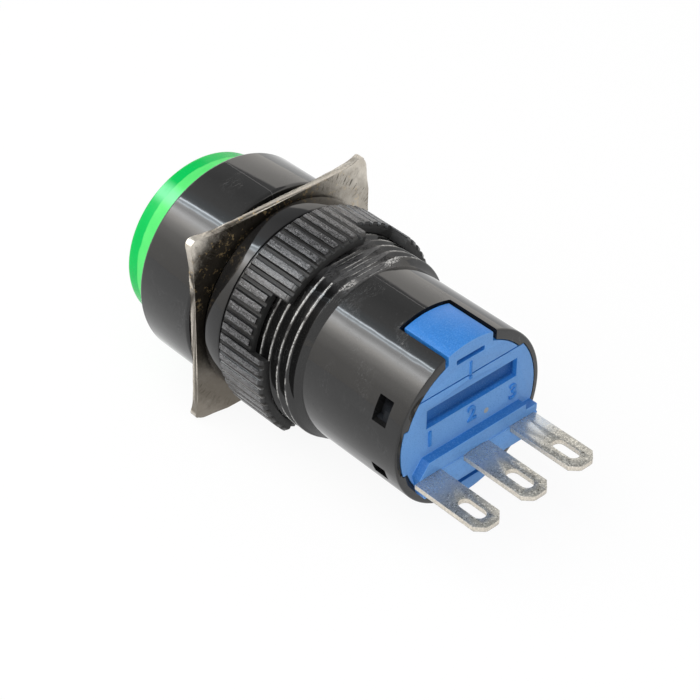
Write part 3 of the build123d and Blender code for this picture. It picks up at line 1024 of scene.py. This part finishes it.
# Painted reflection: the tin's blue-grey colour holds the blue block mirrored in its faces
TIN = TinnedSheet("tinned_sheet", "tinned_brass", (0.46, 0.52, 0.6), 0.26, 0.75)
BLUE = BlockMoulding("blue_block", "blue_plastic", (0.02, 0.19, 0.58), 0.4)
GREEN = GreenCap("green_cap", "green_lens", (0.0, 0.53, 0.095), 0.12)
WHITE = WhiteMoulding("white_moulding", "white_plastic", (0.8, 0.81, 0.79), 0.45)
COPPER = DrawnMetal("rolled_copper", "leaf_copper", (0.75, 0.45, 0.25), 0.3, 1.0, (0.5, 0.28, 0.14))
SILVER = DrawnMetal(
    "silver_contact", "contact_silver", (0.85, 0.85, 0.83), 0.22, 1.0, (0.6, 0.58, 0.52), along=(6, 1, 6)
)
STEEL = DrawnMetal("drawn_wire", "spring_steel", (0.55, 0.55, 0.56), 0.28, 1.0)


# Pieces. Their sizes are in millimetres


def hand_over(piece: bpy.types.Object, name: str, finish: Finish, body: str, *nodes: str) -> None:
    """Turns a finished piece into metres, and names, dresses and hangs it.

    Args:
        piece: The piece, in millimetres.
        name: Its name in the model.
        finish: Its surface.
        body: The body that it moves with.
        nodes: The CAD nodes that it stands for.
    """
    piece.scale = (MM, MM, MM)
    embed(piece)
    piece.name = name
    piece.data.name = name
    piece.data.materials.clear()
    piece.data.materials.append(finish.material())
    for face in piece.data.polygons:
        face.material_index = 0
    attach(piece, body)
    if nodes:
        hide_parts(*nodes)
    piece.data.calc_loop_triangles()
    log.info("%s: %d triangles on body %s", name, len(piece.data.loop_triangles), body)


def rounded_copy(node: str, name: str, finish: Finish, edge: float, sharp: float = 38.0) -> None:
    """Hangs a copy of a node of the housing, its edges rounded, in the node's place.

    Args:
        node: The CAD node.
        name: The piece's name.
        finish: Its surface.
        edge: Width of the rounding.
        sharp: The least turn at an edge that is rounded, in degrees.
    """
    piece = welded_copy(node)
    soften(piece, edge, sharp)
    shade(piece)
    hand_over(piece, name, finish, "housing", node)


@dataclass
class Housing:
    """Bezel, threaded barrel and rear shell in one moulding."""

    bezel_radius: float = 9.0
    bezel_front: float = -6.2
    bezel_edge: float = 0.35
    button_bore: float = 7.85
    bore_edge: float = 0.12
    button_floor: float = -1.5
    guide_bore: float = 6.75
    web: Point = (7.0, 8.0)
    web_hole: float = 2.1
    passage: float = 5.6
    block_front: float = 13.0
    shell_bore: float = 6.55
    barrel_end: float = 11.7
    barrel_edge: float = 0.15
    crest: float = 8.0
    root: float = 7.39
    core: float = 7.37
    pitch: float = 1.0
    thread_front: float = 0.005
    thread_bevel: float = 0.5
    thread_steps: int = 160
    sleeve: Point = (7.29, 8.01)
    flat: float = 7.45
    shell_radius: float = 7.4
    shell_end: float = 22.1
    shell_edge: float = 0.15
    wing_bore: float = 6.95
    wing_front: float = 14.32
    wing_low: float = -2.08
    wing_high: float = 4.13
    keyway_low: float = 2.2
    tab_window_half: float = 2.6
    tab_window_front: float = 17.2
    window_front: float = 19.2
    window_length: float = 1.45
    window_inner: float = 5.05
    upper_window: Point = (2.05, 4.0)
    lower_window: Point = (-3.1, -2.0)
    sides: int = 256
    smooth: float = 32.0
    profile: tuple[Point, ...] = (
        (0.0, 0.0), (0.1, 0.0), (0.17, 0.1), (0.31, 0.72), (0.37, 0.93), (0.44, 1.0),
        (0.56, 1.0), (0.63, 0.93), (0.69, 0.72), (0.83, 0.1), (0.9, 0.0), (1.0, 0.0),
    )

    def section(self) -> list[Point]:
        """Outline of the wall, outside and bores.

        Returns:
            Radius and station of each corner.
        """
        lip = self.bore_edge
        edge = self.bezel_edge
        outer = self.bezel_radius - edge
        rim = self.shell_edge
        return [
            (self.button_bore, self.button_floor),
            *rounding((self.button_bore + lip, self.bezel_front + lip), lip, 180, 270, 3),
            *rounding((outer, self.bezel_front + edge), edge, -90, 0, 8),
            *rounding((outer, -edge), edge, 0, 90, 8),
            (self.core, 0.0),
            (self.core, self.barrel_end - self.barrel_edge),
            *rounding((self.shell_radius - rim, self.shell_end - rim), rim, 0, 90, 4),
            (self.shell_bore, self.shell_end),
            (self.shell_bore, self.block_front),
            (self.passage, self.block_front),
            (self.passage, self.web[1]),
            (self.web_hole, self.web[1]),
            (self.web_hole, self.web[0]),
            (self.guide_bore, self.web[0]),
            (self.guide_bore, self.button_floor),
        ]

    def windows(self) -> list[bpy.types.Object]:
        """Blocks that fill the latch and tab windows and the wings' room.

        Returns:
            The cutters.
        """
        cutters = []
        along = (self.window_front, self.window_front + self.window_length)
        behind = (self.tab_window_front, 2 * OUTSIDE)
        for side in (-OUTSIDE, OUTSIDE):
            across = (self.window_inner, side) if side > 0 else (side, -self.window_inner)
            for height in (self.upper_window, self.lower_window):
                cutters.append(block("window", across, along, height))
            half = self.tab_window_half
            cutters.append(block("tab_window", (-half, half), behind, (min(0, side), max(0, side))))
        room = shaft("room", self.wing_bore, self.wing_front, self.shell_end + SPARE)
        along = (0, 3 * OUTSIDE)
        cut(room, Cut.KEEP, block("band", (-OUTSIDE, OUTSIDE), along, (self.wing_low, self.wing_high)))
        cut(room, Cut.REMOVE, block("key", (0, OUTSIDE), along, (self.keyway_low, OUTSIDE)))
        return [*cutters, room]

    def thread(self) -> bpy.types.Object:
        """Threaded sleeve, cut by the flat and bevelled at its end.

        Returns:
            The sleeve.
        """
        end = self.barrel_end
        depth = self.crest - self.root
        sleeve = drawn(
            "thread", [(self.root + depth * high, self.pitch * (place - 1)) for place, high in self.profile]
        )
        alone(sleeve)
        helix = sleeve.modifiers.new("helix", "SCREW")
        helix.axis = "Y"
        helix.angle = 2 * pi
        helix.screw_offset = self.pitch
        helix.iterations = int(end / self.pitch) + 3
        helix.steps = helix.render_steps = self.thread_steps
        bpy.ops.object.modifier_apply(modifier=helix.name)
        heal(sleeve)
        for height, is_front in ((self.thread_front, True), (end, False)):
            open_mesh(sleeve)
            bpy.ops.mesh.bisect(
                plane_co=(0, height, 0), plane_no=(0, 1, 0), use_fill=True,
                clear_inner=is_front, clear_outer=not is_front,
            )
            close_mesh()
        heal(sleeve)
        inside, top = self.sleeve
        envelope = turned("envelope", [
            (inside, -SPARE), (top, -SPARE), (top, end - self.thread_bevel), (self.core, end), (inside, end),
        ])
        cut(sleeve, Cut.KEEP, envelope)
        side = self.bezel_radius
        above = (self.flat, side + SPARE)
        cut(sleeve, Cut.REMOVE, block("flat", (-side, side), (-2 * SPARE, end + SPARE), above))
        return sleeve

    def build(self) -> None:
        """Builds, dresses and hangs the housing."""
        body = turned("housing_body", self.section(), self.sides)
        cut(body, Cut.REMOVE, *self.windows())
        sleeve = self.thread()
        alone(body)
        sleeve.select_set(True)
        bpy.ops.object.join()
        shade(body, self.smooth)
        hand_over(body, "housing_body", GLOSS_BLACK, "housing", "housing")


@dataclass
class PushCap:
    """Green lens over the button."""

    radius: float = 7.6
    front: float = -9.7
    end: float = -4.2
    edge: float = 0.5
    bore: float = 6.4
    front_wall: float = 1.6
    smooth: float = 35.0

    def build(self) -> None:
        """Builds, dresses and hangs the lens."""
        edge = self.edge
        inside = self.front + self.front_wall
        cap = turned("push_lens", [
            (0, inside), (0, self.front),
            *rounding((self.radius - edge, self.front + edge), edge, -90, 0, 8),
            (self.radius, self.end), (self.bore, self.end), (self.bore, inside),
        ])
        shade(cap, self.smooth)
        hand_over(cap, "push_lens", GREEN, "button", "lens")


@dataclass
class SheetWasher:
    """Square sheet washer with its corners bent forward."""

    width: float = 18.0
    thickness: float = 0.6
    corner: float = 0.8
    corner_parts: int = 8
    bore: float = 8.2
    flat: float = 7.65
    blank_length: Point = (-9.0, 3.0)
    bridge_half: float = 4.0
    bridge_top: float = 8.8
    bridge_overlap: float = 0.1
    bend_start: float = 10.0
    bend_radius: float = 6.0
    bend_angle: float = 29.0
    bend_parts: int = 12
    tilt: float = 2.0
    station: float = 0.7
    sheared_edge: float = 0.09
    sheared_rim: float = 0.3
    waviness: float = 0.09
    sharp: float = 40.0
    smooth: float = 38.0

    def face(self, offset: float) -> list[Point]:
        """One face of the sheet, from the bore out.

        Args:
            offset: The face's distance from the sheet's middle.

        Returns:
            Radius and station of each point.
        """
        radius = self.bend_radius + offset
        centre = (self.bend_start, -self.bend_radius)
        return [(self.bore, offset), *rounding(centre, radius, 90, 90 - self.bend_angle, self.bend_parts)]

    def blank(self) -> bpy.types.Object:
        """Square bar with round corners, the sheet's outline.

        Returns:
            The bar, along the switch's axis.
        """
        side = self.width / 2
        bar = block("blank", (-side, side), self.blank_length, (-side, side))
        open_mesh(bar, "DESELECT", "EDGE")
        close_mesh()
        for edge in bar.data.edges:
            first, second = (bar.data.vertices[index].co for index in edge.vertices)
            edge.select = abs(first.y - second.y) > SPARE
        bpy.ops.object.mode_set(mode="EDIT")
        bpy.ops.mesh.bevel(offset=self.corner, segments=self.corner_parts)
        close_mesh()
        return bar

    def wave(self, sheet: bpy.types.Object) -> None:
        """Draws the sheared outline in by a little, unevenly.

        Args:
            sheet: The washer, flat and centred.
        """
        side = self.width / 2
        for point in sheet.data.vertices:
            across, along = sorted((point.co.z, point.co.x), key=abs, reverse=True)
            if abs(across) < side - self.sheared_rim:
                continue
            coarse = noise.noise(Vector((across * 0.3, along * 0.9, 3.7)))
            fine = noise.noise(Vector((across, along * 3, 1.1)))
            size = 1 - self.waviness / side * max(0.0, min(1.0, 0.5 + coarse + 0.5 * fine))
            point.co.x *= size
            point.co.z *= size

    def build(self) -> None:
        """Builds, dresses and hangs the washer."""
        half = self.thickness / 2
        sheet = turned("sheet_washer", [*self.face(half), *reversed(self.face(-half))])
        cut(sheet, Cut.KEEP, self.blank())
        sides = (-self.bridge_half, self.bridge_half)
        bridge = block("bridge", sides, (-half, half), (self.flat, self.bridge_top))
        cut(bridge, Cut.KEEP, shaft("bridge_end", self.bore + self.bridge_overlap, -SPARE, SPARE))
        cut(sheet, Cut.ADD, bridge)
        self.wave(sheet)
        soften(sheet, self.sheared_edge, self.sharp)
        shade(sheet, self.smooth)
        tilt = Matrix.Rotation(radians(-self.tilt), 4, "X")
        sheet.matrix_world = Matrix.Translation((0, self.station, 0)) @ tilt
        embed(sheet)
        hand_over(sheet, "sheet_washer", NICKEL, "washer", "panel_washer")


@dataclass
class KnurledRing:
    """Ring nut with a smooth collar, straight ridges and spanner notches."""

    crest: float = 9.0
    root: float = 8.6
    bore: float = 8.05
    rough_bore: float = 7.0
    front: float = 1.5
    end: float = 8.7
    collar: float = 1.8
    collar_edge: float = 0.2
    collar_rear_edge: float = 0.12
    groove: float = 0.3
    groove_depth: float = 0.2
    ridges: int = 60
    ridge_facets: int = 10
    ridge_edge: float = 0.3
    valley: Point = (0.25, 0.65)
    notch_width: float = 4.9
    notch_depth: float = 1.7
    notch_angle: float = 61.0
    notches: int = 4
    edge: float = 0.05
    sharp: float = 30.0

    def knurl(self) -> bpy.types.Object:
        """Ridged bar, each ridge narrower at its top and bevelled at its ends.

        Returns:
            The bar, from the groove to the ring's end.
        """
        start = self.front + self.collar + self.groove
        bar = primitive(
            "knurl", bpy.ops.mesh.primitive_circle_add, vertices=self.ridges * self.ridge_facets,
            radius=self.crest, fill_type="NGON", location=(0, start, 0), rotation=(pi / 2, 0, 0),
        )
        embed(bar)
        open_mesh(bar)
        for step in (self.ridge_edge, self.end - start - 2 * self.ridge_edge, self.ridge_edge):
            bpy.ops.mesh.extrude_region_move(TRANSFORM_OT_translate={"value": (0, step, 0)})
        close_mesh()
        pitch = 360 / self.ridges
        for point in bar.data.vertices:
            angle = degrees(Vector((point.co.x, point.co.z)).angle_signed(Vector((1, 0)), 0.0))
            in_valley = self.valley[0] < angle % pitch / pitch < self.valley[1]
            at_end = min(abs(point.co.y - start), abs(point.co.y - self.end)) < 0.01
            top = self.crest - (self.ridge_edge if at_end else 0.0)
            size = (self.root if in_valley else top) / hypot(point.co.x, point.co.z)
            point.co.x *= size
            point.co.z *= size
        heal(bar)
        return bar

    def build(self) -> None:
        """Builds, dresses and hangs the ring."""
        collar_end = self.front + self.collar
        groove_end = collar_end + self.groove + SPARE / 2
        groove = self.root - self.groove_depth
        edge = self.collar_edge
        rear_edge = self.collar_rear_edge
        ring = turned("knurled_ring", [
            (self.rough_bore, self.front),
            *rounding((self.root - edge, self.front + edge), edge, -90, 0, 5),
            *rounding((self.root - rear_edge, collar_end - rear_edge), rear_edge, 0, 90, 3),
            (groove, collar_end),
            (groove, groove_end),
            (self.rough_bore, groove_end),
        ])
        cut(ring, Cut.ADD, self.knurl())
        cut(ring, Cut.REMOVE, shaft("bore", self.bore, self.front - SPARE, self.end + SPARE))
        sides = (-self.notch_width / 2, self.notch_width / 2)
        for number in range(self.notches):
            notch = block("notch", sides, (self.end - self.notch_depth, self.end + SPARE), (0, OUTSIDE))
            turn = radians(self.notch_angle + number * 360 / self.notches)
            notch.matrix_world = Matrix.Rotation(turn, 4, "Y")
            cut(ring, Cut.REMOVE, notch)
        heal(ring)
        soften(ring, self.edge, self.sharp)
        shade(ring)
        hand_over(ring, "knurled_ring", MATT_BLACK, "ring", "lock_ring")


@dataclass
class ContactBlock:
    """Blue block's two mouldings, and its raised numerals with their places across and above the axis."""

    rear: float = 22.1
    edge: float = 0.07
    numeral_size: float = 1.96
    numeral_relief: float = 0.12
    numeral_edge: float = 0.03
    numerals: tuple[tuple[str, float, float], ...] = (
        ("1", 4.04, 0.22), ("2", -0.26, 0.29), ("3", -4.59, 0.01),
    )

    def numeral(self, text: str, x: float, z: float) -> None:
        """Raises one numeral on the rear face.

        Args:
            text: The numeral.
            x: Its middle across the block.
            z: Its middle above the axis.
        """
        letter = primitive("numeral", bpy.ops.object.text_add)
        letter.data.body = text
        letter.data.align_x = "CENTER"
        letter.data.align_y = "CENTER"
        letter.data.size = self.numeral_size
        letter.data.extrude = self.numeral_relief
        letter.data.bevel_depth = self.numeral_edge
        letter.data.bevel_resolution = 1
        alone(letter)
        bpy.ops.object.convert(target="MESH")
        letter = bpy.context.object
        facing = Matrix.Rotation(pi, 4, "Z") @ Matrix.Rotation(pi / 2, 4, "X")
        letter.matrix_world = Matrix.Translation((x, self.rear, z)) @ facing
        embed(letter)
        heal(letter)
        shade(letter)
        hand_over(letter, f"numeral_{text}", BLUE, "housing")

    def build(self) -> None:
        """Builds both mouldings and the numerals."""
        for half in ("base", "cover"):
            rounded_copy(f"contact_{half}", f"block_{half}", BLUE, self.edge)
        for text, x, z in self.numerals:
            self.numeral(text, x, z)


@dataclass
class Terminals:
    """Three tinned blades, their sheared edges a little round."""

    edge: float = 0.06
    places: tuple[str, ...] = ("closed", "common", "open")

    def build(self) -> None:
        """Rounds, dresses and hangs each blade."""
        for place in self.places:
            rounded_copy(f"terminal_{place}", f"blade_{place}", TIN, self.edge)


@dataclass(frozen=True)
class Coil:
    """A spring: its node, body and joint, its still end in metres, and what is left of its length."""

    node: str
    body: str
    joint: str
    still_end: float
    left: float
    smooth: float = 50.0

    def build(self) -> None:
        """Builds, dresses and hangs the spring."""
        wire = welded_copy(self.node)
        shade(wire, self.smooth)
        hand_over(wire, f"{self.node}_wire", STEEL, self.body, self.node)
        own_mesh(wire)


@dataclass
class Springs:
    """The button's, the leaf's and the contact's springs."""

    coils: tuple[Coil, ...] = (
        Coil("return_spring", "housing", "button_press", 0.007, 0.745),
        Coil("drive_spring", "button", "button_press", 0.0145, 0.21),
        Coil("contact_spring", "housing", "leaf_swing", 0.0204, 0.88),
    )

    def build(self) -> None:
        """Builds all three."""
        for coil in self.coils:
            coil.build()


@dataclass
class Mechanism:
    """Inner parts, which keep their CAD shapes and get their finishes."""

    finishes: tuple[tuple[str, Finish], ...] = (
        ("diffuser", WHITE), ("button_carrier", WHITE), ("plunger", WHITE), ("slider", WHITE),
        ("front_plate", BLUE), ("contact_leaf", COPPER), ("moving_contact", SILVER),
        ("fixed_contact_closed", SILVER), ("fixed_contact_open", SILVER),
    )

    def build(self) -> None:
        """Gives each node its material."""
        for node, finish in self.finishes:
            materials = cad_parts[node].data.materials
            if not materials:
                materials.append(finish.material())
            for index in range(len(materials)):
                materials[index] = finish.material()
            log.info("%s: %s", node, finish.name)


# Studio. Its sizes are in metres


class Tint(Enum):
    """Colour of a stretch of the card."""

    PLAIN = (1.0, 1.0, 1.0)
    COOL = (0.86, 0.94, 1.0)
    WARM = (1.0, 0.965, 0.92)


@dataclass
class SoftLamp:
    """A long lamp beside the switch's axis: its angle from the top, the angle that it fills and its place."""

    angle: float = 30.0
    width: float = 70.0
    radiance: float = 1.6
    distance: float = 0.35
    front: float = -0.45
    rear: float = 0.3

    def build(self) -> None:
        """Hangs the lamp, its long side along the axis, facing it."""
        data = bpy.data.lights.new("soft_light", "AREA")
        data.shape = "RECTANGLE"
        data.size = 2 * self.distance * tan(radians(self.width / 2))
        data.size_y = self.rear - self.front
        data.energy = pi * self.radiance * data.size * data.size_y
        lamp = bpy.data.objects.new("soft_light", data)
        turn = radians(self.angle)
        middle = (self.front + self.rear) / 2
        lamp.location = (self.distance * sin(turn), middle, self.distance * cos(turn))
        lamp.rotation_euler = (0, turn, 0)
        lamp.visible_camera = False
        lamp.visible_glossy = False
        bpy.context.scene.collection.objects.link(lamp)


@dataclass
class Studio:
    """Camera, lamp, world, floor and the shaded card that black plastic mirrors.

    The card holds an angle from the top, a brightness and a tint for each of its stretches.
    """

    position: Place = (0.088940, 0.108571, 0.104171)
    heading: Place = (-0.5225, -0.5855, -0.6198)
    roll: float = -0.255
    lens: float = 112.004
    sensor: float = 36.0
    nearest: float = 0.01
    ambient: float = 0.42
    floor_size: float = 8.0
    floor_glow: float = 0.92
    card_distance: float = 0.3
    card_half: float = 0.6
    card_steps: int = 32
    card_peak: float = 16.0
    card: tuple[tuple[float, float, Tint], ...] = (
        (-91.0, 1.4, Tint.WARM), (-58.0, 1.6, Tint.WARM), (-48.0, 1.75, Tint.WARM), (-45.5, 0.5, Tint.PLAIN),
        (-20.0, 0.45, Tint.PLAIN), (6.0, 0.75, Tint.PLAIN), (14.0, 1.1, Tint.COOL), (17.6, 1.6, Tint.COOL),
        (18.6, 4.0, Tint.COOL), (19.8, 16.0, Tint.COOL), (21.0, 6.0, Tint.COOL), (22.6, 6.0, Tint.COOL),
        (23.6, 11.0, Tint.COOL), (25.0, 5.0, Tint.PLAIN), (28.0, 4.5, Tint.PLAIN), (34.0, 8.0, Tint.PLAIN),
        (40.0, 6.0, Tint.WARM), (46.0, 3.8, Tint.WARM), (54.0, 2.2, Tint.WARM), (68.0, 1.4, Tint.WARM),
        (91.0, 1.1, Tint.WARM),
    )

    def camera(self) -> None:
        """Sets the camera where the photograph's was."""
        back = -Vector(self.heading).normalized()
        right = Vector((0, 0, 1)).cross(back).normalized()
        up = back.cross(right)
        turn = radians(self.roll)
        across = cos(turn) * right + sin(turn) * up
        above = cos(turn) * up - sin(turn) * right
        facing = Matrix((across, above, back)).transposed().to_4x4()
        data = bpy.data.cameras.new("camera")
        data.lens = self.lens
        data.sensor_width = self.sensor
        data.clip_start = self.nearest
        camera = bpy.data.objects.new("camera", data)
        camera.matrix_world = Matrix.Translation(self.position) @ facing
        bpy.context.scene.collection.objects.link(camera)
        bpy.context.scene.camera = camera

    def world(self) -> None:
        """White where it is seen or mirrored, softer as light."""
        world = bpy.data.worlds.new("studio")
        bpy.context.scene.world = world
        nodes = Nodes(world)
        strength = self.ambient + (1 - self.ambient) * nodes.rays("Camera", "Glossy", "Transmission")
        light = nodes.node("ShaderNodeBackground", {}, {"Color": (1, 1, 1), "Strength": strength})
        nodes.node("ShaderNodeOutputWorld", {}, {"Surface": light.outputs["Background"]})

    def floor(self) -> None:
        """Lays the pale floor under the switch, which keeps its shadow."""
        level = (0, 0, CAD_BOX[0][2])
        floor = primitive("floor", bpy.ops.mesh.primitive_plane_add, size=self.floor_size, location=level)
        embed(floor)
        material = bpy.data.materials.new("floor")
        paint = Paint(material)
        paint.set("Base Color", (0.95, 0.95, 0.95))
        paint.set("Roughness", 0.9)
        share = self.floor_glow * paint.rays("Camera", "Glossy")
        glow = paint.node("ShaderNodeEmission", {}, {"Color": (1, 1, 1), "Strength": 1.0})
        inputs = {0: share, 1: paint.shader.outputs["BSDF"], 2: glow.outputs["Emission"]}
        paint.show(paint.node("ShaderNodeMixShader", {}, inputs).outputs["Shader"])
        floor.data.materials.append(material)

    def mirrored_card(self) -> None:
        """Hangs a curved card over the switch that only mirrors see. Spin turns towards lower angles."""
        first, last = self.card[0][0], self.card[-1][0]
        card = drawn("mirrored_card", [(0.0, -self.card_half), (0.0, self.card_half)])
        open_mesh(card)
        side = (self.card_distance * sin(radians(last)), 0, self.card_distance * cos(radians(last)))
        bpy.ops.transform.translate(value=side)
        sweep = radians(last - first)
        bpy.ops.mesh.spin(steps=self.card_steps, angle=sweep, center=(0, 0, 0), axis=(0, 1, 0))
        close_mesh()
        for kind in ("camera", "diffuse", "shadow", "transmission"):
            setattr(card, f"visible_{kind}", False)
        material = bpy.data.materials.new("mirrored_card")
        paint = Paint(material)
        stops = []
        for angle, level, tint in self.card:
            stops.append(((angle - first) / (last - first), times(tint.value, level / self.card_peak)))
        along = (paint.turn() * (180 / pi) - first) / (last - first)
        shades = paint.node("ShaderNodeValToRGB", {"stops": stops}, {"Fac": along}).outputs["Color"]
        glow = paint.node("ShaderNodeEmission", {}, {"Color": shades, "Strength": self.card_peak})
        paint.show(glow.outputs["Emission"])
        card.data.materials.append(material)

    def build(self) -> None:
        """Sets up the whole studio."""
        bpy.context.scene.view_settings.view_transform = "Standard"
        self.camera()
        self.world()
        self.floor()
        self.mirrored_card()
        SoftLamp().build()
        log.info("studio: camera, world, floor, card and lamp")


def main() -> None:
    """Builds the studio and every piece, in order."""
    logging.basicConfig(level=logging.INFO, format="%(message)s")
    Studio().build()
    for assembly in (Housing, PushCap, SheetWasher, KnurledRing, ContactBlock, Terminals, Springs, Mechanism):
        assembly().build()
    bpy.ops.object.select_all(action="DESELECT")


if __name__ == "__main__":
    main()
